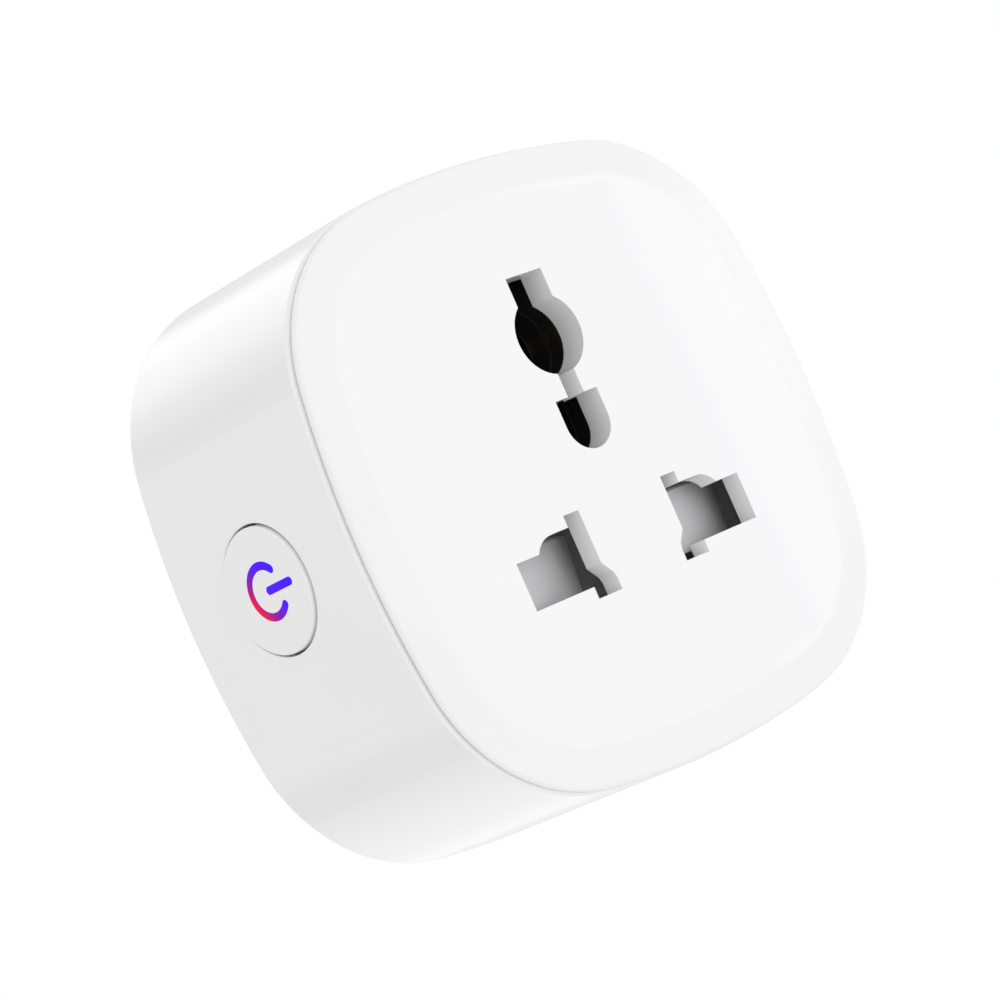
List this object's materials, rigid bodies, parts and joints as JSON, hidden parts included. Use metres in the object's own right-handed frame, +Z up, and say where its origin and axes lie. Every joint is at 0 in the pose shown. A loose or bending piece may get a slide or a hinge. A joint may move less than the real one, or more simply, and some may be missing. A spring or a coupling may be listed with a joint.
{
  "type": "smart plug",
  "caption": "Rounded-square plug-in switch with a multi-standard socket face, a round lit side button, a sliding pin shutter and a rectangular-pin mains plug at the rear.",
  "frame": {"origin": "centre of the flat rear face, which rests on the wall socket", "axes": "+X to the right of someone facing the plug, +Y into the wall along the pins, +Z up on the earth pin's side"},
  "size_m": [0.06, 0.0515, 0.0598],
  "materials": {
    "cover_plastic": "fine satin",
    "housing_plastic": "soft gloss",
    "base_plastic": "satin",
    "screw_steel": "zinc plated",
    "pin_brass": "nickel-free, bright",
    "sleeve_plastic": "satin",
    "shutter_plastic": "satin",
    "tray_plastic": "satin",
    "spring_steel": "bright",
    "carrier_plastic": "satin",
    "contact_bronze": "bright",
    "button_plastic": "soft gloss",
    "icon_glow": "clear, lit from behind, violet to red",
    "black_plastic": "moulded",
    "plunger_plastic": "moulded",
    "board_laminate": "solder mask",
    "led_resin": "clear resin",
    "capacitor_aluminium": "printed sleeve",
    "capacitor_box_plastic": "moulded",
    "varistor_coat": "dipped epoxy",
    "ferrite": "sintered",
    "radio_laminate": "solder mask",
    "shield_steel": "tin plated",
    "copper": "bare copper",
    "relay_plastic": "moulded",
    "relay_iron": "nickel plated",
    "bobbin_plastic": "moulded"
  },
  "bodies": {
    "plug": {"front_cover": "cover_plastic", "housing_shell": "housing_plastic", "rear_base": "base_plastic", "housing_screws": "screw_steel", "line_pin": "pin_brass", "neutral_pin": "pin_brass", "earth_pin": "pin_brass", "line_pin_sleeve": "sleeve_plastic", "neutral_pin_sleeve": "sleeve_plastic", "shutter_spring": "spring_steel", "shutter_tray": "tray_plastic", "contact_carrier": "carrier_plastic", "line_contact": "contact_bronze", "neutral_contact": "contact_bronze", "earth_contact": "contact_bronze", "tact_switch_body": "black_plastic", "button_board": "board_laminate", "status_leds": "led_resin", "board_link_pins": "pin_brass", "main_board": "board_laminate", "bulk_capacitors": "capacitor_aluminium", "suppression_capacitor": "capacitor_box_plastic", "surge_varistor": "varistor_coat", "filter_choke": "ferrite", "radial_fuse": "black_plastic", "board_chips": "black_plastic", "current_shunt": "spring_steel", "wifi_module": "radio_laminate", "wifi_shield": "shield_steel", "wifi_antenna": "copper", "relay_base": "black_plastic", "relay_cover": "relay_plastic", "relay_yoke": "relay_iron", "relay_core": "relay_iron", "relay_bobbin": "bobbin_plastic", "relay_coil": "copper", "relay_fixed_contact": "contact_bronze"},
    "button": {"power_button": "button_plastic", "icon_light_guide": "icon_glow"},
    "switch_plunger": {"tact_switch_plunger": "plunger_plastic"},
    "shutter_slider": {"shutter": "shutter_plastic"},
    "relay_rocker": {"relay_armature": "relay_iron", "relay_contact_spring": "contact_bronze"}
  },
  "joints": [
    {"name": "button_press", "type": "slide", "parent": "plug", "child": "button", "axis": [1, 0, 0], "range_m": [0, 0.0005], "stiffness_N_per_m": 2000, "springref_m": -0.0003},
    {"name": "switch_plunger_travel", "type": "slide", "parent": "plug", "child": "switch_plunger", "axis": [1, 0, 0], "range_m": [0, 0.0004]},
    {"name": "shutter_slide", "type": "slide", "parent": "plug", "child": "shutter_slider", "axis": [-1, 0, 0], "range_m": [0, 0.0113], "stiffness_N_per_m": 60, "springref_m": -0.004, "deforming": ["shutter_spring"]},
    {"name": "relay_armature_rock", "type": "hinge", "parent": "plug", "child": "relay_rocker", "pos_m": [-0.0086, -0.01585, -0.02022], "axis": [0, 0, 1], "range_deg": [0, 4], "stiffness_Nm_per_rad": 0.02, "springref_deg": -5.73}
  ],
  "couplings": [
    {"joint": "switch_plunger_travel", "follows": "button_press", "ratio": 0.8}
  ]
}
